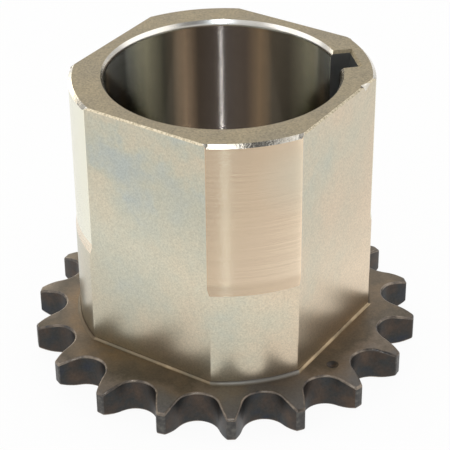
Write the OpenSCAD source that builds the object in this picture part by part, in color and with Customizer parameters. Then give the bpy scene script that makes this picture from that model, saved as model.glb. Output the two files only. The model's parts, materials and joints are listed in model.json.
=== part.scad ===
// Crankshaft timing sprocket, pressed and sintered from steel powder as one piece.
// A toothed plate for a single-row roller chain carries a tall hub. Four flats on the hub drive the
// part that slides over it, the arcs between them are ground, and the bore has one keyway.
// Lengths are in millimetres. +Z runs up the bore, and the origin is the centre of the plate's back face.
// The keyway lies on +X, in line with the middle of a tooth.

/* [Chain] */
// Pitch of the roller chain
chain_pitch = 9.525; // [9.3:0.025:10.5]
// Diameter of the chain's rollers
roller_d = 6.35; // [5.6:0.05:6.6]
// Number of teeth
teeth = 18; // [18:1:26]

/* [Teeth] */
// Clearance of a roller in its seat, on the radius
seat_clearance = 0.03; // [0.01:0.01:0.1]
// Angle over which the seat follows the roller
seat_angle = 130; // [120:1:134]
// Height of the tooth tips above the pitch circle
tip_rise = 1.55; // [1:0.05:1.7]
// Thickness of the toothed plate
plate_t = 5.2; // [4.4:0.1:7]
// How far the front of a tooth falls away at its tip
tip_relief_front = 1; // [0.4:0.05:1.2]
// How far the back of a tooth falls away at its tip
tip_relief_back = 0.6; // [0.3:0.05:1]

/* [Hub] */
// Height of the hub above the plate
hub_rise = 38.7; // [24:0.1:50]
// Diameter over the ground arcs
ground_d = 43.6; // [42.6:0.1:44]
// Stock left on the arcs below the ground band, on the radius
grind_stock = 0.15; // [0.05:0.05:0.3]
// Height above the plate at which the ground band starts
ground_from = 15; // [6:0.5:20]
// Length of the taper where the grinding wheel runs out
grind_runout = 1; // [0.5:0.1:2]
// Distance across two opposite flats
across_flats = 38.7; // [37.5:0.1:40]
// Chamfer along the top of the arcs
arc_chamfer = 0.5; // [0.45:0.05:0.8]
// Chamfer along the top of the flats
flat_chamfer = 0.25; // [0.2:0.05:0.4]
// Bevel that eases the corner between the arcs and the plate
arc_foot = 0.5; // [0.45:0.05:0.8]
// Bevel that eases the corner between the flats and the plate
flat_foot = 0.4; // [0.2:0.05:0.4]

/* [Bore] */
// Diameter of the bore
bore_d = 33.5; // [30:0.1:34]
// Width of the lead-in at the top of the bore
lead_w = 0.5; // [0.2:0.05:0.8]
// Depth of the lead-in at the top of the bore
lead_h = 0.85; // [0.3:0.05:1.5]
// Chamfer at the back of the bore
back_chamfer = 0.5; // [0.2:0.05:1]
// Width of the keyway
key_w = 5; // [4:0.1:6]
// Depth of the keyway below the bore
key_depth = 2.65; // [1.8:0.05:3]
// Chamfer around the top of the keyway
key_chamfer = 0.4; // [0.1:0.05:0.5]

/* [Timing mark] */
// Diameter of the punched mark
mark_d = 1.4; // [0.8:0.1:1.6]
// Depth of the punched mark
mark_depth = 0.45; // [0.2:0.05:0.6]
// Distance of the mark's centre inside the root circle
mark_inset = 0.8; // [0.5:0.1:1.1]
// Teeth from the keyway round to the marked tooth, clockwise from above
mark_tooth = 3; // [0:1:17]

/* [Hidden] */
$fn = 96;

tooth_step = 360 / teeth;
pitch_r = chain_pitch / (2 * sin(tooth_step / 2));
seat_r = roller_d / 2 + seat_clearance;
root_r = pitch_r - seat_r;
tip_r = pitch_r + tip_rise;
// Flank radius of the standard tooth form
flank_r = 0.12 * roller_d * (teeth + 2);
// Radius of the relief on the sides of a tooth
relief_r = chain_pitch;

bore_r = bore_d / 2;
key_floor = bore_r + key_depth;
ground_r = ground_d / 2;
pressed_r = ground_r + grind_stock;
flat_r = across_flats / 2;
height = plate_t + hub_rise;
// The hub's sections start this far inside the plate, so that the two are one solid
hub_sunk = 0.5;
hub_base = plate_t - hub_sunk;

mark_r = root_r - mark_inset;
// A ball that leaves a mark of this diameter and depth
punch_r = (mark_d * mark_d / 4 + mark_depth * mark_depth) / (2 * mark_depth);

// Cuts run this far past the faces that they leave
past = 1;

// Space between two teeth in plan, with the seat's centre at the origin and the way out along +X:
// a round seat that opens between two convex flanks
module tooth_gap() {
    half = seat_angle / 2;
    seat_end = -seat_r * cos(half);
    mouth = tip_rise + past;
    spread = tan(tooth_step / 2);
    circle(r = seat_r);
    difference() {
        polygon([
            [seat_end, -(pitch_r + seat_end) * spread],
            [mouth, -(pitch_r + mouth) * spread],
            [mouth, (pitch_r + mouth) * spread],
            [seat_end, (pitch_r + seat_end) * spread]
        ]);
        for (side = [-1, 1])
            translate((seat_r + flank_r) * [-cos(half), side * sin(half)])
                circle(r = flank_r);
    }
}

// Section cut from the rim of the plate, so that a tooth's side falls away by drop on an arc.
// The face lies on y = 0 with the metal below it, and the tip is at x = 0.
module tip_relief(drop) {
    run = sqrt(2 * relief_r * drop - drop * drop);
    difference() {
        translate([-run, -relief_r])
            square([run + past, relief_r + past]);
        translate([-run, -relief_r])
            circle(r = relief_r);
    }
}

module toothed_plate() {
    difference() {
        rotate_extrude()
            difference() {
                square([tip_r, plate_t]);
                translate([tip_r, plate_t])
                    tip_relief(tip_relief_front);
                translate([tip_r, 0])
                    mirror([0, 1])
                        tip_relief(tip_relief_back);
            }
        for (i = [0 : teeth - 1])
            rotate((i + 0.5) * tooth_step)
                translate([pitch_r, 0, -past])
                    linear_extrude(height = plate_t + 2 * past)
                        tooth_gap();
    }
}

// Half section of the hub where its arcs are, as if it were round
module arc_section() {
    polygon([
        [0, hub_base],
        [pressed_r + arc_foot + hub_sunk, hub_base],
        [pressed_r, plate_t + arc_foot],
        [pressed_r, plate_t + ground_from],
        [ground_r, plate_t + ground_from + grind_runout],
        [ground_r, height - arc_chamfer],
        [ground_r - arc_chamfer, height],
        [0, height]
    ]);
}

// Half section of the hub across two opposite flats
module flat_section() {
    polygon([
        [0, hub_base],
        [flat_r + flat_foot + hub_sunk, hub_base],
        [flat_r, plate_t + flat_foot],
        [flat_r, height - flat_chamfer],
        [flat_r - flat_chamfer, height],
        [0, height]
    ]);
}

// Bar with a pair of opposite flats, long enough to pass through the whole hub
module flat_bar() {
    rotate([90, 0, 0])
        linear_extrude(height = 4 * pressed_r, center = true) {
            flat_section();
            mirror([1, 0])
                flat_section();
        }
}

module hub() {
    intersection() {
        rotate_extrude()
            arc_section();
        rotate(45)
            flat_bar();
        rotate(-45)
            flat_bar();
    }
}

module bore() {
    translate([0, 0, -past])
        cylinder(r = bore_r, h = height + 2 * past);
    // Lead-in at the top and chamfer at the back, both run on past their faces at the same slope
    translate([0, 0, height - lead_h])
        cylinder(r1 = bore_r, r2 = bore_r + 2 * lead_w, h = 2 * lead_h);
    translate([0, 0, -back_chamfer])
        cylinder(r1 = bore_r + 2 * back_chamfer, r2 = bore_r, h = 2 * back_chamfer);
}

module keyway() {
    low = height - key_chamfer;
    high = height + key_chamfer;
    side = key_w / 2;
    translate([0, -side, -past])
        cube([key_floor, key_w, height + 2 * past]);
    // Chamfer around the mouth: a wedge along the end wall, kept between two along the side walls
    intersection() {
        rotate([90, 0, 0])
            linear_extrude(height = 2 * key_w, center = true)
                polygon([[0, low], [key_floor, low], [key_floor + 2 * key_chamfer, high], [0, high]]);
        rotate([90, 0, 90])
            linear_extrude(height = 2 * key_floor)
                polygon([
                    [-side, low],
                    [side, low],
                    [side + 2 * key_chamfer, high],
                    [-side - 2 * key_chamfer, high]
                ]);
    }
}

module timing_mark() {
    rotate(-mark_tooth * tooth_step)
        translate([mark_r, 0, plate_t + punch_r - mark_depth])
            rotate([90, 0, 0])
                sphere(r = punch_r);
}

module crank_sprocket() {
    color("#a1978a")
        difference() {
            union() {
                toothed_plate();
                hub();
            }
            bore();
            keyway();
            timing_mark();
        }
}

crank_sprocket();
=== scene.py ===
import json
import math
import bmesh
import bpy
from mathutils import Matrix, Quaternion, Vector


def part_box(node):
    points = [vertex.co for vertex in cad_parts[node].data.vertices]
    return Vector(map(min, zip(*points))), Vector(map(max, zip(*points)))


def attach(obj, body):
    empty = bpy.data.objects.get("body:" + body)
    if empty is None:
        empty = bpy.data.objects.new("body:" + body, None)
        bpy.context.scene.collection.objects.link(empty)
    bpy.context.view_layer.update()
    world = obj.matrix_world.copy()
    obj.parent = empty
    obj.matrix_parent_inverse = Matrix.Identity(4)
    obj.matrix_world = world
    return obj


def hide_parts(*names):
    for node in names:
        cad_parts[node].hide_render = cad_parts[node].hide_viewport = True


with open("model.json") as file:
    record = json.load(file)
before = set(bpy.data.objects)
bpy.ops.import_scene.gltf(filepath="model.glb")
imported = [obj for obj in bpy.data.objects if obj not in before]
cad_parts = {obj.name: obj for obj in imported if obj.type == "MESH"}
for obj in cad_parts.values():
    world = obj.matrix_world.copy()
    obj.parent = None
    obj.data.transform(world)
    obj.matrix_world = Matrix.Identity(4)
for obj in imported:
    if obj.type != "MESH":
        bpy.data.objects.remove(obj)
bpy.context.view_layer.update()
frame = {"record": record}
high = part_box("crank_sprocket")[1]


# Toothed plate
# The foot of the sprocket, pressed from steel powder in one stroke with the hub. Its teeth carry one row of
# roller chain, their sides fall away towards the tips, and tumbling has worn their edges round.

# The whole part is one closed mesh, drawn in millimetres and scaled to metres when it is done. Its finishes
# are in metres.
mm = 0.001
# Vertices that are nearer than this to each other or to a level are taken as touching it
touching = 1e-4
teeth = 18
chain_pitch = 9.525
roller_d = 6.35
seat_clearance = 0.03
half_seat = math.radians(65)
plate_t = 5.2
tip_r = high.x / mm
front_drop = 1.0
back_drop = 0.6
relief_r = chain_pitch
tooth_edge = 0.28
tip_corner = 0.16
seat_steps = 14
flank_steps = 6
roll_steps = 4

tooth_step = 2 * math.pi / teeth
pitch_r = chain_pitch / (2 * math.sin(tooth_step / 2))
seat_r = roller_d / 2 + seat_clearance
root_r = pitch_r - seat_r
# Flank radius of the standard tooth form
flank_r = 0.12 * roller_d * (teeth + 2)


def linear(code):
    """Turns an sRGB hex colour into Blender's linear one."""
    parts = [int(code[i:i + 2], 16) / 255 for i in (1, 3, 5)]
    return [c / 12.92 if c <= 0.04045 else ((c + 0.055) / 1.055) ** 2.4 for c in parts] + [1]


def add(tree, kind, inputs, stops=(), **settings):
    """Adds a node and returns its outputs. An input is another node's socket or a plain value."""
    node = tree.nodes.new("ShaderNode" + kind)
    for name, value in settings.items():
        setattr(node, name, value)
    for name, value in inputs.items():
        if isinstance(value, bpy.types.NodeSocket):
            tree.links.new(value, node.inputs[name])
        else:
            node.inputs[name].default_value = value
    for i, (place, code) in enumerate(stops):
        elements = node.color_ramp.elements
        stop = elements[i] if i < len(elements) else elements.new(place)
        stop.position = place
        stop.color = linear(code)
    return node.outputs


finishes = []


def new_finish(name, roughness):
    """Starts a bare metal, and returns its tree, its shader, its place on the part and its number."""
    material = bpy.data.materials.new(name)
    material.use_nodes = True
    finishes.append(material)
    tree = material.node_tree
    shader = tree.nodes["Principled BSDF"].inputs
    shader["Metallic"].default_value = 1
    shader["Roughness"].default_value = roughness
    return tree, shader, add(tree, "TexCoord", {})["Object"], len(finishes) - 1


# Most of a noise pattern lies between these two values
noise_span = {"From Min": 0.3, "From Max": 0.7}
pore_bump = 0.25


def give_pores(tree, shader, place, film, grain, fleck, depth):
    """Puts a film on a finish, flecked by grains of this size, and dents it as sintered steel's pores do.

    Real grains are about 0.1 mm across. They are drawn two or three times as coarse, so that they show.
    """
    grit = add(tree, "TexNoise", {"Vector": place, "Scale": 1 / grain, "Detail": 3, "Roughness": 0.6})["Fac"]
    span = {**noise_span, "To Min": 1 - fleck, "To Max": 1 + fleck}
    shade = add(tree, "MapRange", {"Value": grit, **span})["Result"]
    tint = add(tree, "VectorMath", {0: film, "Scale": shade}, operation="SCALE")["Vector"]
    tree.links.new(tint, shader["Base Color"])
    pores = add(tree, "Bump", {"Height": grit, "Strength": pore_bump, "Distance": depth})["Normal"]
    tree.links.new(pores, shader["Normal"])


# Steel with a temper film from induction hardening: bronze beside the hub, darker out on the teeth, and
# greyer and paler round the front of the plate.
hardened_cloud = 7 * mm
from_hub_out = {"From Min": 19 * mm, "From Max": 29 * mm, "To Max": 0.45}
round_the_front = {"From Min": -8 * mm, "From Max": -24 * mm, "To Max": 0.5}
cloud_shift = {**noise_span, "To Min": -0.24, "To Max": 0.24}
film_stops = [(0.0, "#836e55"), (0.18, "#746655"), (0.42, "#60584d"), (0.6, "#786d61"), (0.85, "#706c68")]
tree, shader, place, hardened = new_finish("temper_filmed_steel", roughness=0.5)
level = add(tree, "VectorMath", {0: place, 1: (1, 1, 0)}, operation="MULTIPLY")["Vector"]
radius = add(tree, "VectorMath", {0: level}, operation="LENGTH")["Value"]
reach = add(tree, "MapRange", {"Value": radius, **from_hub_out})["Result"]
along = add(tree, "SeparateXYZ", {"Vector": place})["Y"]
front = add(tree, "MapRange", {"Value": along, **round_the_front})["Result"]
pattern = {"Vector": place, "Scale": 1 / hardened_cloud, "Detail": 4, "Roughness": 0.6}
cloud = add(tree, "TexNoise", pattern)["Fac"]
drift = add(tree, "MapRange", {"Value": cloud, **cloud_shift})["Result"]
zone = add(tree, "Math", {0: reach, 1: front}, operation="ADD")["Value"]
zone = add(tree, "Math", {0: zone, 1: drift}, operation="ADD")["Value"]
film = add(tree, "ValToRGB", {"Fac": zone}, film_stops)["Color"]
give_pores(tree, shader, place, film, grain=0.35 * mm, fleck=0.12, depth=0.03 * mm)

# The same steel in the tooth gaps, where the film is darker, with blue and brown patches from the quench.
quench_patch = 4 * mm
film_stops = [(0.3, "#3a3d44"), (0.45, "#40403f"), (0.58, "#4a433e"), (0.7, "#564a41")]
tree, shader, place, flank = new_finish("quenched_tooth_flank_steel", roughness=0.43)
pattern = {"Vector": place, "Scale": 1 / quench_patch, "Detail": 4, "Roughness": 0.6}
cloud = add(tree, "TexNoise", pattern)["Fac"]
film = add(tree, "ValToRGB", {"Fac": cloud}, film_stops)["Color"]
give_pores(tree, shader, place, film, grain=0.35 * mm, fleck=0.12, depth=0.03 * mm)

# Edges that tumbling has rubbed in patches: bare and lighter there, still filmed between. The lightest
# patches are also a painted highlight, so that the rims show a pale line.
edge_rub = 3 * mm
film_stops = [(0.35, "#4d4b4b"), (0.5, "#70675e"), (0.65, "#94887b")]
tree, shader, place, worn_and_highlight = new_finish("tumbled_edge_steel", roughness=0.36)
rub = add(tree, "TexNoise", {"Vector": place, "Scale": 1 / edge_rub, "Detail": 5, "Roughness": 0.7})["Fac"]
film = add(tree, "ValToRGB", {"Fac": rub}, film_stops)["Color"]
tree.links.new(film, shader["Base Color"])

# Tips of the teeth, rubbed grey.
tip_rub = 0.7 * mm
film_stops = [(0.3, "#484746"), (0.5, "#545250"), (0.7, "#676560")]
tree, shader, place, tip = new_finish("rubbed_tooth_tip_steel", roughness=0.4)
rub = add(tree, "TexNoise", {"Vector": place, "Scale": 1 / tip_rub, "Detail": 4})["Fac"]
film = add(tree, "ValToRGB", {"Fac": rub}, film_stops)["Color"]
tree.links.new(film, shader["Base Color"])

bm = bmesh.new()


def carry(vert, centre, turn, steps):
    """Carries a wire on from one vertex, round a centre, and returns its last vertex."""
    spun = bmesh.ops.spin(bm, geom=[vert], cent=centre, axis=(0, 0, 1), angle=turn, steps=steps)
    return [item for item in spun["geom_last"] if isinstance(item, bmesh.types.BMVert)][0]


def follow(start):
    """Lists the vertices of a closed wire in order, anticlockwise from one of them."""
    ends = [edge.other_vert(start) for edge in start.link_edges]
    ends.sort(key=lambda vert: start.co.cross(vert.co).z)
    loop = [start, ends[-1]]
    while True:
        onward = [edge.other_vert(loop[-1]) for edge in loop[-1].link_edges]
        vert = [v for v in onward if v is not loop[-2]][0]
        if vert is start:
            return loop
        loop.append(vert)


def next_loop(loop, finish):
    """Extrudes a closed loop of vertices, gives the new faces a finish and returns the new loop in order."""
    edges = [bm.edges.get((loop[i - 1], loop[i])) for i in range(len(loop))]
    made = bmesh.ops.extrude_edge_only(bm, edges=edges)["geom"]
    fresh = {item for item in made if isinstance(item, bmesh.types.BMVert)}
    for item in made:
        if isinstance(item, bmesh.types.BMFace):
            item.material_index = finish
    return [[e.other_vert(v) for e in v.link_edges if e.other_vert(v) in fresh][0] for v in loop]


def give_finish(loop, above, spans, finish):
    """Gives a finish to the faces that stand on some of a loop's edges, below the loop extruded from it."""
    for i in spans:
        for face in bm.edges.get((loop[i - 1], loop[i])).link_faces:
            if above[i] in face.verts:
                face.material_index = finish


# One tooth gap: half of a round roller seat, then a convex flank out to the tip circle, mirrored
seat = Vector((pitch_r, 0, 0))
flank_centre = seat + (seat_r + flank_r) * Vector((-math.cos(half_seat), math.sin(half_seat), 0))


def flank_angle(r):
    """Angle at the flank's centre between the axis of the part and the flank's point at radius r."""
    off = flank_centre.length
    return math.acos((off ** 2 + flank_r ** 2 - r ** 2) / (2 * off * flank_r))


seat_end = carry(bm.verts.new((root_r, 0, 0)), seat, -half_seat, seat_steps)
carry(seat_end, flank_centre, flank_angle(tip_r) - flank_angle(seat_end.co.length), flank_steps)
bmesh.ops.mirror(bm, geom=bm.verts[:] + bm.edges[:], matrix=Matrix(), merge_dist=touching, axis="Y")
bmesh.ops.rotate(bm, verts=bm.verts[:], cent=(0, 0, 0), matrix=Matrix.Rotation(tooth_step / 2, 3, "Z"))
bmesh.ops.spin(
    bm,
    geom=bm.verts[:] + bm.edges[:],
    cent=(0, 0, 0),
    axis=(0, 0, 1),
    angle=2 * math.pi - tooth_step,
    steps=teeth - 1,
    use_duplicate=True,
)
# The tips join neighbouring gaps, and their corners are rounded
tips = [[] for i in range(teeth)]
for vert in bm.verts:
    if len(vert.link_edges) == 1:
        tips[round(math.atan2(vert.co.y, vert.co.x) / tooth_step) % teeth].append(vert)
for pair in tips:
    bm.edges.new(pair)
bmesh.ops.bevel(
    bm,
    geom=[vert for pair in tips for vert in pair],
    offset=tip_corner,
    offset_type="OFFSET",
    affect="VERTICES",
    segments=2,
    profile=0.5,
    material=-1,
)
first_root = min(bm.verts, key=lambda vert: (round(vert.co.xy.length, 4), abs(vert.co.y), -vert.co.x))
rim = follow(first_root)
outline = [vert.co.copy() for vert in rim]
inward = []
for i in range(len(outline)):
    along = (outline[(i + 1) % len(outline)] - outline[i - 1]).normalized()
    inward.append(Vector((-along.y, along.x, 0)))


def fallen(r, drop):
    """How far a tooth's side has fallen away at radius r, on an arc that drops this far by the tip."""
    run = math.sqrt(2 * relief_r * drop - drop * drop)
    past = max(0, r - (tip_r - run))
    return relief_r - math.sqrt(relief_r ** 2 - past ** 2)


def front_height(r):
    """Height of the plate's front at radius r."""
    return plate_t - fallen(r, front_drop)


def back_height(r):
    """Height of the plate's back at radius r."""
    return fallen(r, back_drop)


def place_rim(loop, side_height, inset, lift):
    """Puts a loop of the rim this far inside the outline and this far above a side of the plate."""
    for vert, start, inner in zip(loop, outline, inward):
        spot = start + inset * inner
        vert.co = (spot.x, spot.y, side_height(spot.length) + lift)


def tooth_sides(loop, face_z, finish):
    """Covers one side of every tooth with rungs between its flanks, where it falls away from the face."""
    share = len(loop) // teeth
    half = share // 2
    for first in range(0, len(loop), share):
        left = [loop[first + i] for i in range(half + 1)]
        right = [loop[(first + share - i) % len(loop)] for i in range(half + 1)]
        rails = [bm.edges.get(pair) for side in (left, right) for pair in zip(side, side[1:])]
        rails = [edge for edge in rails if any(abs(vert.co.z - face_z) > touching for vert in edge.verts)]
        for face in bmesh.ops.bridge_loops(bm, edges=rails)["faces"]:
            face.material_index = finish


# The walls of the gaps and the tips, then the edges that tumbling has rolled over, on both sides
place_rim(rim, front_height, inset=0, lift=-tooth_edge)
back_rim = next_loop(rim, flank)
place_rim(back_rim, back_height, inset=0, lift=tooth_edge)
for face in bm.faces:
    if face.calc_center_median().xy.length > tip_r - tip_corner:
        face.material_index = tip
for loop, side_height, side in ((rim, front_height, 1), (back_rim, back_height, -1)):
    for step in range(1, roll_steps + 1):
        loop = next_loop(loop, worn_and_highlight)
        turn = step / roll_steps * math.pi / 2
        inset = tooth_edge * (1 - math.cos(turn))
        place_rim(loop, side_height, inset, lift=side * tooth_edge * (math.sin(turn) - 1))
    tooth_sides(loop, side_height(0), hardened)

# Timing mark: a shallow dimple from a round punch beside the root of one tooth, with a soft lip. Its profile
# gives the radius and the depth from the lip to the floor.
mark_tooth = 3
mark_inset = 0.8
mark_steps = 32
mark_profile = [(0.9, 0), (0.76, 0.02), (0.62, 0.08), (0.48, 0.17), (0.32, 0.26), (0.14, 0.31)]
mark_angle = -mark_tooth * tooth_step
mark_r = root_r - mark_inset
mark_centre = Vector((mark_r * math.cos(mark_angle), mark_r * math.sin(mark_angle), plate_t))
at_mark = Matrix.Translation(mark_centre)
ring = bmesh.ops.create_circle(bm, radius=mark_profile[0][0], segments=mark_steps, matrix=at_mark)
loop = follow(ring["verts"][0])
for (outer, above), (inner, below) in zip(mark_profile, mark_profile[1:]):
    loop = next_loop(loop, flank)
    shrink = inner / outer
    bmesh.ops.scale(bm, verts=loop, vec=(shrink, shrink, 1), space=Matrix.Translation(-mark_centre))
    bmesh.ops.translate(bm, verts=loop, vec=(0, 0, above - below))
floor_edges = [bm.edges.get((loop[i - 1], loop[i])) for i in range(len(loop))]
bmesh.ops.contextual_create(bm, geom=floor_edges, mat_nr=flank)


# Hub
# The tall body above the plate. Its four flats and the foot of its arcs keep the pressed and sintered skin,
# the upper part of the arcs is ground to size, and both have a chamfer at the top.
height = high.z / mm
ground_r = 21.8
grind_stock = 0.15
grind_rise = 15
grind_runout = 1
flat_r = 19.35
arc_chamfer = 0.5
flat_chamfer = 0.25
arc_foot = 0.5
flat_foot = 0.4
corner_round = 0.14
arc_steps = 20
foot_steps = 4
pressed_r = ground_r + grind_stock
ground_from = plate_t + grind_rise
ground_to = ground_from + grind_runout

# A nick in the top edge of one flat: where it starts, is deepest and ends, from the flat's far end, how far
# down it reaches, how far it cuts into the flat and into the top, and the height that it stays within
nick_stations = (3.4, 2.8, 1.6)
nick_low = 1.0
nick_in_face = 0.1
nick_in_top = 0.3
nick_clear = 1.6

# Pressed and sintered steel: silver-beige with a cloudy temper film, matte, full of fine pores. The film is
# warmer low down and on the +X side. Painted shade darkens it close to the plate and a little towards the
# top, less so on the +X side. Near the top of one flat a blue streak runs under a warm patch, the next flat
# has a blue band, and the foot of the arc between them is cooler.
pressed_cloud = 13 * mm
wander_size = 3.5 * mm
wander_reach = 11 * mm
cool_streak = Vector((-17.1, -10.3, 37)) * mm
warm_patch = Vector((-10.8, -16.6, 41.1)) * mm
cool_band = Vector((10.3, -17.1, 36.7)) * mm
cool_foot = Vector((0, -22, 17)) * mm
streak_turn = (0, math.radians(50), math.radians(-45))
warm_turn = (0, math.radians(16), math.radians(-45))
band_turn = (0, 0, math.radians(45))
foot_turn = (0, 0, 0)
# Each patch has its middle, its turn, its reach in millimetres and how far it shifts the film, and fades
# between these two shares of its reach
patches = [
    (cool_streak, streak_turn, (6.5, 9, 2.8), -0.14),
    (warm_patch, warm_turn, (7, 9, 2.6), 0.16),
    (cool_band, band_turn, (3.8, 9, 6), -0.12),
    (cool_foot, foot_turn, (8, 4, 5), -0.12),
]
patch_fade = {"From Min": 0.3, "From Max": 1.5}
warmer_way = (1, 0, -0.6)
warmer_span = {"From Min": -40 * mm, "From Max": 8 * mm, "To Min": -0.13, "To Max": 0.16}
# Painted shade: the film is darkened by height, most close to the plate and a little towards the top, less
# on +X
painted_shade_way = (0.3, 0, 1)
painted_shade_span = {"From Min": 2 * mm, "From Max": 42 * mm}
film_stops = [(0.28, "#c0c5be"), (0.4, "#cccab8"), (0.48, "#d4ccb6"), (0.6, "#ddcdb4"), (0.75, "#e7d2b7")]
painted_shade_stops = [(0, "#e0e0e0"), (0.2, "#efefef"), (0.425, "#ffffff"), (0.575, "#f9f9f9"), (0.725, "#f1f1f1")]
tree, shader, place, pressed = new_finish("sintered_steel_as_pressed", roughness=0.31)
pattern = {"Vector": place, "Scale": 1 / pressed_cloud, "Detail": 5, "Roughness": 0.55}
cloud = add(tree, "TexNoise", pattern)["Fac"]
cloud = add(tree, "MapRange", {"Value": cloud, "To Min": 0.18, "To Max": 0.82})["Result"]
slant = add(tree, "VectorMath", {0: place, 1: warmer_way}, operation="DOT_PRODUCT")["Value"]
drift = add(tree, "MapRange", {"Value": slant, **warmer_span})["Result"]
zone = add(tree, "Math", {0: cloud, 1: drift}, operation="ADD")["Value"]
pattern = {"Vector": place, "Scale": 1 / wander_size, "Detail": 4, "Roughness": 0.6}
wander = add(tree, "TexNoise", pattern)["Color"]
wander = add(tree, "VectorMath", {0: wander, 1: (0.5, 0.5, 0.5)}, operation="SUBTRACT")["Vector"]
wander = add(tree, "VectorMath", {0: wander, "Scale": wander_reach}, operation="SCALE")["Vector"]
strayed = add(tree, "VectorMath", {0: place, 1: wander}, operation="ADD")["Vector"]
for middle, turned, reach, shift in patches:
    frame_of_patch = {"Location": middle, "Rotation": turned, "Scale": Vector(reach) * mm}
    local = add(tree, "Mapping", {"Vector": strayed, **frame_of_patch}, vector_type="TEXTURE")["Vector"]
    away = add(tree, "VectorMath", {0: local}, operation="LENGTH")["Value"]
    patch = add(tree, "MapRange", {"Value": away, **patch_fade, "To Min": shift, "To Max": 0})["Result"]
    zone = add(tree, "Math", {0: zone, 1: patch}, operation="ADD")["Value"]
film = add(tree, "ValToRGB", {"Fac": zone}, film_stops)["Color"]
# Painted shade, by height along this slant
along = add(tree, "VectorMath", {0: place, 1: painted_shade_way}, operation="DOT_PRODUCT")["Value"]
rise = add(tree, "MapRange", {"Value": along, **painted_shade_span})["Result"]
shade = add(tree, "ValToRGB", {"Fac": rise}, painted_shade_stops)["Color"]
film = add(tree, "VectorMath", {0: film, 1: shade}, operation="MULTIPLY")["Vector"]
give_pores(tree, shader, place, film, grain=0.25 * mm, fleck=0.14, depth=0.015 * mm)

# The wheel and the hone leave grooves that are too fine to be seen one by one, and only draw the light out.
# Some are deeper than others, in bands that are drawn coarser than real ones so that they show.
groove_pitch = 0.011 * mm
band_long = 20 * mm
band_tall = 0.2 * mm
band_depth = 0.04


def give_grooves(tree, shader, place, down, up):
    """Runs fine grooves round the axis, with sides between these slopes, to draw light out up and down."""
    along = add(tree, "SeparateXYZ", {"Vector": place})["Z"]
    phase = add(tree, "Math", {0: along, 1: 2 * math.pi / groove_pitch}, operation="MULTIPLY")["Value"]
    wave = add(tree, "Math", {0: phase}, operation="SINE")["Value"]
    flattened = {"Vector": place, "Scale": (1 / band_long, 1 / band_long, 1 / band_tall)}
    squeeze = add(tree, "Mapping", flattened)["Vector"]
    bands = add(tree, "TexNoise", {"Vector": squeeze, "Scale": 1, "Detail": 3})["Fac"]
    span = {**noise_span, "To Min": (1 - band_depth) * up, "To Max": (1 + band_depth) * up}
    crest = add(tree, "MapRange", {"Value": bands, **span})["Result"]
    span = {"From Min": -1, "From Max": 1, "To Min": down, "To Max": crest}
    tilt = add(tree, "MapRange", {"Value": wave, **span})["Result"]
    lift = add(tree, "CombineXYZ", {"Z": tilt})["Vector"]
    wall = add(tree, "NewGeometry", {})["Normal"]
    tilted = add(tree, "VectorMath", {0: wall, 1: lift}, operation="ADD")["Vector"]
    tilted = add(tree, "VectorMath", {0: tilted}, operation="NORMALIZE")["Vector"]
    tree.links.new(tilted, shader["Normal"])


# Ground steel: warm, with an upright highlight and faint lines round it from the wheel, drawn coarser than
# real ones so that they show. The colour is painted paler towards the keyway's side, as painted light, and
# much paler on the two side arcs, as a painted highlight. It is darker where the wheel runs out at the foot,
# and cooler in one cloud near the top.
line_long = 30 * mm
line_tall = 0.16 * mm
line_shift = {"To Min": 0, "To Max": 0.3}
# Painted light: paler towards the keyway's side
paler_way = (1, 0, -0.4)
paler_span = {"From Min": -20 * mm, "From Max": -2 * mm, "To Max": 0.4}
# Painted highlight: much paler on the two side arcs
side_arc_span = {"From Min": 10 * mm, "From Max": 18 * mm, "To Max": 0.6}
run_out_from = (ground_to + 0.3) * mm
run_out_to = (ground_to + 1.2) * mm
run_out_span = {"From Min": run_out_from, "From Max": run_out_to, "To Min": -0.16, "To Max": 0}
cool_cloud = Vector((6.6, -20.8, 38)) * mm
cool_colour = "#d6d0bc"
cool_fade = {"From Min": 2 * mm, "From Max": 7 * mm, "To Min": 0.5, "To Max": 0}
film_stops = [(0.1, "#c9b49a"), (0.25, "#d9c3a7"), (0.385, "#e1cbb0"), (0.55, "#f0dcc1"), (0.72, "#eeecda")]
tree, shader, place, ground = new_finish("cylindrically_ground_steel", roughness=0.2)
flattened = {"Vector": place, "Scale": (1 / line_long, 1 / line_long, 1 / line_tall)}
squeeze = add(tree, "Mapping", flattened)["Vector"]
lines = add(tree, "TexNoise", {"Vector": squeeze, "Scale": 1, "Detail": 3, "Roughness": 0.6})["Fac"]
lines = add(tree, "MapRange", {"Value": lines, **line_shift})["Result"]
slant = add(tree, "VectorMath", {0: place, 1: paler_way}, operation="DOT_PRODUCT")["Value"]
drift = add(tree, "MapRange", {"Value": slant, **paler_span})["Result"]
split = add(tree, "SeparateXYZ", {"Vector": place})
aside = add(tree, "Math", {0: split["X"]}, operation="ABSOLUTE")["Value"]
# Painted highlight on the two side arcs
painted_side_highlight = add(tree, "MapRange", {"Value": aside, **side_arc_span})["Result"]
run_out = add(tree, "MapRange", {"Value": split["Z"], **run_out_span})["Result"]
zone = add(tree, "Math", {0: lines, 1: drift}, operation="ADD")["Value"]
zone = add(tree, "Math", {0: zone, 1: painted_side_highlight}, operation="ADD")["Value"]
zone = add(tree, "Math", {0: zone, 1: run_out}, operation="ADD")["Value"]
film = add(tree, "ValToRGB", {"Fac": zone}, film_stops)["Color"]
off = add(tree, "VectorMath", {0: place, 1: cool_cloud}, operation="DISTANCE")["Value"]
cool = add(tree, "MapRange", {"Value": off, **cool_fade})["Result"]
# Inputs 6 and 7 of a mix are its two colours, and output 2 is the mixed one
film = add(tree, "Mix", {"Factor": cool, 6: film, 7: linear(cool_colour)}, data_type="RGBA")[2]
tree.links.new(film, shader["Base Color"])
give_grooves(tree, shader, place, down=-0.2, up=0.45)

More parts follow.
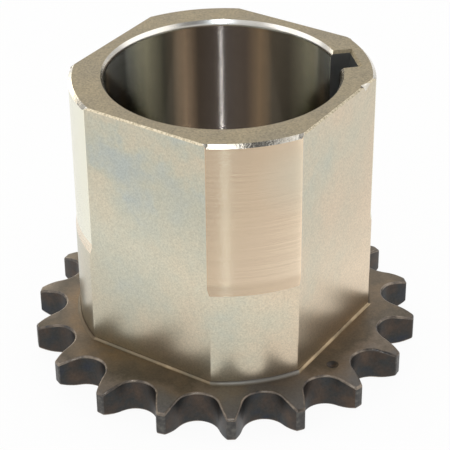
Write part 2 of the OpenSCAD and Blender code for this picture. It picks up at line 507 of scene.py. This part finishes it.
# Turned chamfer of the arcs: bright, nearly a mirror, and broken up by the pores that the tool has opened.
chamfer_rub = 0.8 * mm
film_stops = [(0.3, "#cfc8ba"), (0.7, "#e4dfd4")]
tree, shader, place, bright = new_finish("turned_bright_steel", roughness=0.17)
rub = add(tree, "TexNoise", {"Vector": place, "Scale": 1 / chamfer_rub, "Detail": 3})["Fac"]
film = add(tree, "ValToRGB", {"Fac": rub}, film_stops)["Color"]
give_pores(tree, shader, place, film, grain=0.35 * mm, fleck=0.12, depth=0.1 * mm)

# Edge left by the press along the flats: a ragged, pale line. Its paleness is partly a painted highlight
# along the flats' chamfer.
edge_grain = 0.3 * mm
edge_bump = 0.3
edge_depth = 0.05 * mm
film_stops = [(0.35, "#b0a48b"), (0.5, "#d6c9ae"), (0.7, "#ece0c8")]
tree, shader, place, burr_and_highlight = new_finish("pressed_edge_steel", roughness=0.38)
rub = add(tree, "TexNoise", {"Vector": place, "Scale": 1 / edge_grain, "Detail": 4})["Fac"]
film = add(tree, "ValToRGB", {"Fac": rub}, film_stops)["Color"]
tree.links.new(film, shader["Base Color"])
ragged = add(tree, "Bump", {"Height": rub, "Strength": edge_bump, "Distance": edge_depth})["Normal"]
tree.links.new(ragged, shader["Normal"])

# Foot of the arcs: brown, but grey round the front, where the film is thin. It also paints the shade on one
# side of the nick.
foot_cloud = 6 * mm
greyer_span = {"From Min": -8 * mm, "From Max": -20 * mm, "To Min": -0.2, "To Max": 0.2}
film_stops = [(0.3, "#695c4b"), (0.5, "#6f6759"), (0.7, "#87827a")]
tree, shader, place, dull = new_finish("thin_filmed_steel", roughness=0.45)
cloud = add(tree, "TexNoise", {"Vector": place, "Scale": 1 / foot_cloud, "Detail": 3})["Fac"]
along = add(tree, "SeparateXYZ", {"Vector": place})["Y"]
front = add(tree, "MapRange", {"Value": along, **greyer_span})["Result"]
zone = add(tree, "Math", {0: cloud, 1: front}, operation="ADD")["Value"]
film = add(tree, "ValToRGB", {"Fac": zone}, film_stops)["Color"]
tree.links.new(film, shader["Base Color"])

# Foot of the flats: a straw and bronze temper line where the heat of hardening stopped, paler on the
# keyway's side.
straw_cloud = 5 * mm
straw_span = {"From Min": -14 * mm, "From Max": 14 * mm, "To Min": -0.14, "To Max": 0.14}
film_stops = [(0.28, "#675f50"), (0.42, "#7a6c58"), (0.64, "#ae9a7c"), (0.75, "#b8a284")]
tree, shader, place, straw = new_finish("straw_tempered_steel", roughness=0.34)
cloud = add(tree, "TexNoise", {"Vector": place, "Scale": 1 / straw_cloud, "Detail": 4})["Fac"]
across = add(tree, "SeparateXYZ", {"Vector": place})["X"]
drift = add(tree, "MapRange", {"Value": across, **straw_span})["Result"]
zone = add(tree, "Math", {0: cloud, 1: drift}, operation="ADD")["Value"]
film = add(tree, "ValToRGB", {"Fac": zone}, film_stops)["Color"]
tree.links.new(film, shader["Base Color"])

# The way along the flat that follows the arc on +X
along_flat = Vector((-1, 1, 0)).normalized()


def place_hub(loop, arc_r, arc_z, side_r, side_z):
    """Puts a loop of the hub where its arcs and its flats have these distances from the axis and heights."""
    half = math.pi / 4 - math.acos(side_r / arc_r)
    spots = []
    for step in range(arc_steps + 1):
        angle = (2 * step / arc_steps - 1) * (half - corner_round / arc_r)
        spots.append(Vector((arc_r * math.cos(angle), arc_r * math.sin(angle), arc_z)))
    # The corner between an arc and a flat, rounded, then the nick's places on the flat and the next corner
    corner = Vector((arc_r * math.cos(half), arc_r * math.sin(half), (arc_z + side_z) / 2))
    flat_end = corner + corner_round * along_flat
    flat_end.z = side_z
    near = [(spots[-1] + 2 * corner + flat_end) / 4, flat_end]
    far = [Vector((spot.y, spot.x, spot.z)) for spot in reversed(near)]
    stations = [far[0] - gap * along_flat for gap in nick_stations]
    spots += near + stations + far
    for quarter in range(4):
        turned = Matrix.Rotation(quarter * math.pi / 2, 3, "Z")
        for i, spot in enumerate(spots):
            loop[quarter * len(spots) + i].co = turned @ spot


# The hub's section from the plate up: radius and height of the arcs, distance and height of the flats, and
# the finishes of the two up to there
hub_section = []
for step in range(1, foot_steps + 1):
    turn = step / foot_steps * math.pi / 2
    arc_spot = (pressed_r + arc_foot * (1 - math.sin(turn)), plate_t + arc_foot * (1 - math.cos(turn)))
    out = 1 - (math.sin(turn) + step / foot_steps) / 2
    up = (1 - math.cos(turn) + step / foot_steps) / 2
    flat_spot = (flat_r + flat_foot * out, plate_t + flat_foot * up)
    hub_section.append((*arc_spot, *flat_spot, dull, straw))
hub_section += [
    (pressed_r, ground_from, flat_r, ground_from, pressed, pressed),
    (ground_r, ground_to, flat_r, ground_to, ground, pressed),
    (ground_r, height - nick_clear, flat_r, height - nick_clear, ground, pressed),
    (ground_r, height - arc_chamfer, flat_r, height - flat_chamfer, ground, pressed),
    (ground_r - arc_chamfer, height, flat_r - flat_chamfer, height, bright, burr_and_highlight),
]
# In each quarter a loop has the arc, two corners and the flat, which starts at this edge
flat_first = arc_steps + 3
flat_spans = len(nick_stations) + 1
quarter_verts = flat_first + 1 + flat_spans
ring = bmesh.ops.create_circle(bm, radius=pressed_r, segments=4 * quarter_verts)
loop = follow(ring["verts"][0])
place_hub(loop, pressed_r + arc_foot, plate_t, flat_r + flat_foot, plate_t)
for arc_r, arc_z, side_r, side_z, arc_finish, flat_finish in hub_section:
    below = loop
    loop = next_loop(below, arc_finish)
    place_hub(loop, arc_r, arc_z, side_r, side_z)
    for span in range(flat_first, flat_first + flat_spans):
        give_finish(below, loop, range(span, len(loop), quarter_verts), flat_finish)

# The nick is in the last quarter's flat: its bottom is pushed in, and down the flat, so that its two sides
# open. The shaded side is painted dark with the dull finish, as painted shade, and the other is bright.
nick_bottom = 3 * quarter_verts + flat_first + 1
into_flat = Vector((-1, 1, 0)).normalized()
# Painted shade on the nick's shaded side
give_finish(below, loop, [nick_bottom], dull)
give_finish(below, loop, [nick_bottom + 1], bright)
below[nick_bottom].co += nick_in_face * into_flat - Vector((0, 0, nick_low - flat_chamfer))
loop[nick_bottom].co += nick_in_top * into_flat


# Bore and keyway
# The bore slides on the crankshaft's nose, with a lead-in at the top and a chamfer at the back. It is honed,
# and one keyway is broached along it, with its own chamfer at the top.
bore = [mount for mount in frame["record"]["mounts"] if mount["name"] == "bore"][0]
bore_r = bore["dims"]["r_mm"]
lead_w = 0.5
lead_h = 0.85
back_chamfer = 0.5
key_half = 2.5
key_depth = 2.65
key_chamfer = 0.4
bore_steps = 120
key_floor = bore_r + key_depth

# Honed steel: glossy, drawn out up and down by the fine lines round it. Its soft brown, olive and grey
# bands round the bore are painted reflections. Their places are shares of the half turn from the keyway to
# the far side.
film_stops = [
    (0.02, "#7c7d77"),
    (0.07, "#a6a89f"),
    (0.14, "#979179"),
    (0.235, "#524c41"),
    (0.285, "#574f43"),
    (0.326, "#917a60"),
    (0.368, "#64584d"),
    (0.43, "#6b625b"),
    (0.505, "#625649"),
    (0.545, "#b89f83"),
    (0.585, "#5c5448"),
    (0.61, "#49463c"),
    (0.67, "#959078"),
    (0.76, "#7b7c74"),
    (0.9, "#a8aaa3"),
]
tree, shader, place, honed = new_finish("honed_bore_steel", roughness=0.11)
split = add(tree, "SeparateXYZ", {"Vector": place})
turn = add(tree, "Math", {0: split["Y"], 1: split["X"]}, operation="ARCTAN2")["Value"]
turn = add(tree, "Math", {0: turn}, operation="ABSOLUTE")["Value"]
share = add(tree, "MapRange", {"Value": turn, "From Min": 0, "From Max": math.pi})["Result"]
# Painted reflections: bands by the angle round the bore
film = add(tree, "ValToRGB", {"Fac": share}, film_stops)["Color"]
tree.links.new(film, shader["Base Color"])
give_grooves(tree, shader, place, down=-0.4, up=0.68)

# Turned lead-in and back chamfer: smooth, bright and almost without film.
lead_rub = 2 * mm
film_stops = [(0.3, "#ebe6dc"), (0.7, "#f6f2ea")]
tree, shader, place, turned_in = new_finish("smooth_turned_steel", roughness=0.24)
rub = add(tree, "TexNoise", {"Vector": place, "Scale": 1 / lead_rub, "Detail": 3})["Fac"]
film = add(tree, "ValToRGB", {"Fac": rub}, film_stops)["Color"]
tree.links.new(film, shader["Base Color"])

# Broached keyway: plain grey, slightly blue walls.
key_cloud = 3 * mm
film_stops = [(0.35, "#9da0a2"), (0.65, "#aaa9a6")]
tree, shader, place, broached = new_finish("broached_keyway_steel", roughness=0.4)
cloud = add(tree, "TexNoise", {"Vector": place, "Scale": 1 / key_cloud, "Detail": 4})["Fac"]
film = add(tree, "ValToRGB", {"Fac": cloud}, film_stops)["Color"]
tree.links.new(film, shader["Base Color"])

# Faced steel: sandy and dull, with the grains standing out.
faced_cloud = 5 * mm
film_stops = [(0.35, "#8e846f"), (0.65, "#978b72")]
tree, shader, place, faced = new_finish("faced_sintered_steel", roughness=0.5)
cloud = add(tree, "TexNoise", {"Vector": place, "Scale": 1 / faced_cloud, "Detail": 3})["Fac"]
film = add(tree, "ValToRGB", {"Fac": cloud}, film_stops)["Color"]
give_pores(tree, shader, place, film, grain=0.3 * mm, fleck=0.26, depth=0.03 * mm)


def place_bore(loop, r, half, end, z):
    """Puts a loop of the bore at a height: a circle of radius r that the keyway opens on +X."""
    gap = math.asin(half / r)
    for i in range(bore_steps + 1):
        angle = gap + (2 * math.pi - 2 * gap) * i / bore_steps
        loop[i].co = (r * math.cos(angle), r * math.sin(angle), z)
    loop[-2].co = (end, -half, z)
    loop[-1].co = (end, half, z)


# The bore's section from the top down: its radius, the keyway's half width and end, the height, and the
# finishes of the two down to there
lead_at_key = bore_r + lead_w * (1 - key_chamfer / lead_h)
bore_section = [
    (lead_at_key, key_half, key_floor, height - key_chamfer, turned_in, faced),
    (bore_r, key_half, key_floor, height - lead_h, turned_in, broached),
    (bore_r, key_half, key_floor, back_chamfer, honed, broached),
    (bore_r + back_chamfer, key_half, key_floor, 0, turned_in, broached),
]
# The keyway's three walls stand on the last two edges of a loop and the one that closes it
key_spans = (-2, -1, 0)
ring = bmesh.ops.create_circle(bm, radius=bore_r, segments=bore_steps + len(key_spans))
loop = follow(ring["verts"][0])
place_bore(loop, bore_r + lead_w, key_half + key_chamfer, key_floor + key_chamfer, height)
for r, half, end, z, bore_finish, key_finish in bore_section:
    below = next_loop(loop, bore_finish)
    place_bore(below, r, half, end, z)
    give_finish(loop, below, key_spans, key_finish)
    loop = below


# Flat faces
# The top of the hub is faced to length, and the plate keeps its temper film on the front and on the back,
# where it sits against the crankshaft's shoulder.
sharp_from = math.radians(34)


def fill_level(z, finish):
    """Closes the flat face at a height, between all the open loops that end there."""
    edges = [e for e in bm.edges if e.is_boundary and all(abs(v.co.z - z) < touching for v in e.verts)]
    made = bmesh.ops.triangle_fill(bm, use_beauty=True, use_dissolve=False, edges=edges, normal=(0, 0, 1))
    for item in made["geom"]:
        if isinstance(item, bmesh.types.BMFace):
            item.material_index = finish


fill_level(height, faced)
fill_level(plate_t, hardened)
fill_level(0, hardened)
bmesh.ops.remove_doubles(bm, verts=bm.verts[:], dist=touching)
bmesh.ops.recalc_face_normals(bm, faces=bm.faces[:])
bmesh.ops.scale(bm, verts=bm.verts[:], vec=(mm, mm, mm))

mesh = bpy.data.meshes.new("timing_sprocket")
bm.to_mesh(mesh)
bm.free()
for material in finishes:
    mesh.materials.append(material)
mesh.shade_smooth()
mesh.set_sharp_from_angle(angle=sharp_from)
sprocket = bpy.data.objects.new("timing_sprocket", mesh)
bpy.context.scene.collection.objects.link(sprocket)
weighted = sprocket.modifiers.new("even_shading", "WEIGHTED_NORMAL")
weighted.keep_sharp = True
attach(sprocket, "root")
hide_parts("crank_sprocket")


# Floor
# A plain white table. It shows white to the camera and in the steel, and still takes the part's soft shadow.
# From here on, lengths are in metres.
floor_size = 3
floor_glow = 0.94
floor_mesh = bpy.data.meshes.new("floor")
bm = bmesh.new()
bmesh.ops.create_grid(bm, x_segments=1, y_segments=1, size=floor_size)
bm.to_mesh(floor_mesh)
bm.free()
floor = bpy.data.objects.new("floor", floor_mesh)
bpy.context.scene.collection.objects.link(floor)
white = bpy.data.materials.new("matt_white_card")
white.use_nodes = True
tree = white.node_tree
card = tree.nodes["Principled BSDF"]
card.inputs["Base Color"].default_value = linear("#f4f4f2")
card.inputs["Roughness"].default_value = 0.9
path = add(tree, "LightPath", {})
seen = add(tree, "Math", {0: path["Is Camera Ray"], 1: path["Is Glossy Ray"]}, operation="MAXIMUM")["Value"]
seen = add(tree, "Math", {0: seen, 1: path["Is Transmission Ray"]}, operation="MAXIMUM")["Value"]
share = add(tree, "Math", {0: seen, 1: floor_glow}, operation="MULTIPLY")["Value"]
glow = add(tree, "Emission", {"Color": (1, 1, 1, 1), "Strength": 1})["Emission"]
mixed = add(tree, "MixShader", {0: share, 1: card.outputs["BSDF"], 2: glow})["Shader"]
tree.links.new(mixed, tree.nodes["Material Output"].inputs["Surface"])
floor_mesh.materials.append(white)


# Camera
# A long lens, looking down on the part from a little to the left of its front, with the keyway at the right.
# The focal length is given in pixels of the image, and turned into millimetres on the sensor.
view_turn = math.radians(11.508)
view_rise = math.radians(31.798)
view_roll = math.radians(0.597)
view_distance = 253.89 * mm
view_target = Vector((0.171, -0.035, 18.264)) * mm
sensor_w = 36
lens_px = 1698.63
image_px = 450


def towards(turn, rise):
    """Direction from the part at this angle to the right of the camera and this angle above the floor."""
    heading = turn - view_turn
    level = math.cos(rise)
    return Vector((math.sin(heading) * level, -math.cos(heading) * level, math.sin(rise)))


camera_data = bpy.data.cameras.new("camera")
camera_data.sensor_width = sensor_w
camera_data.lens = lens_px * sensor_w / image_px
camera_data.clip_start = 1 * mm
camera = bpy.data.objects.new("camera", camera_data)
bpy.context.scene.collection.objects.link(camera)
back = towards(0, view_rise)
camera.location = view_target + view_distance * back
camera.rotation_mode = "QUATERNION"
camera.rotation_quaternion = back.to_track_quat("Z", "Y") @ Quaternion((0, 0, 1), -view_roll)
bpy.context.scene.camera = camera


# Studio light
# A light tent: large soft boxes at the left, the right and the back, smaller lamps at the back left and on
# the camera's side, and pale cloth all round but for a dark opening above the camera.
def soft_box(name, turn, rise, distance, width, tall, radiance, tint="#ffffff"):
    """Adds a soft box that faces the part, as bright as a white card at radiance 1."""
    away = towards(math.radians(turn), math.radians(rise))
    data = bpy.data.lights.new(name, "AREA")
    data.shape = "RECTANGLE"
    data.size = width
    data.size_y = tall
    data.energy = radiance * math.pi * width * tall
    data.color = linear(tint)[:3]
    lamp = bpy.data.objects.new(name, data)
    bpy.context.scene.collection.objects.link(lamp)
    lamp.location = view_target + distance * away
    lamp.rotation_mode = "QUATERNION"
    lamp.rotation_quaternion = away.to_track_quat("Z", "Y")


warm = "#fff6e0"
cold = "#e4f1ff"
colder = "#c8ecff"
soft_box("right_soft_box", turn=80, rise=30, distance=0.6, width=0.6, tall=0.65, radiance=0.8)
soft_box("left_soft_box", turn=-80, rise=30, distance=0.6, width=0.6, tall=0.65, radiance=0.8)
soft_box("back_soft_box", turn=180, rise=35, distance=0.8, width=1.0, tall=0.7, radiance=0.9)
# A lamp low at the back left, for the left flat and arc
soft_box("back_left_lamp", turn=-148, rise=8, distance=0.6, width=0.5, tall=0.14, radiance=2.5, tint=warm)
# Two narrow lamps behind the camera: a high one for the line in the bore, and a low one for the front arc
soft_box("camera_lamp", turn=1, rise=36, distance=0.5, width=0.014, tall=0.07, radiance=88, tint=cold)
soft_box("strip_lamp", turn=1, rise=17, distance=0.5, width=0.012, tall=0.16, radiance=7, tint=colder)
# A lamp above the camera, for the front chamfer
soft_box("upper_lamp", turn=-7, rise=58, distance=0.6, width=0.24, tall=0.16, radiance=3)

cloth_strength = 0.55
opening_strength = 0.1
opening_turn = math.radians(27)
opening_rise = math.radians(55)
opening_inside = math.radians(18)
opening_outside = math.radians(38)
opening = towards(opening_turn, opening_rise)
opening_edge = {"From Min": math.cos(opening_outside), "From Max": math.cos(opening_inside)}
room = bpy.data.worlds.new("light_tent")
room.use_nodes = True
tree = room.node_tree
sight = add(tree, "TexCoord", {})["Generated"]
facing = add(tree, "VectorMath", {0: sight, 1: opening}, operation="DOT_PRODUCT")["Value"]
span = {"Value": facing, **opening_edge, "To Min": cloth_strength, "To Max": opening_strength}
strength = add(tree, "MapRange", span, interpolation_type="SMOOTHSTEP")["Result"]
tree.nodes["Background"].inputs["Color"].default_value = linear("#ffffff")
tree.links.new(strength, tree.nodes["Background"].inputs["Strength"])
bpy.context.scene.world = room

bpy.context.scene.view_settings.view_transform = "Standard"
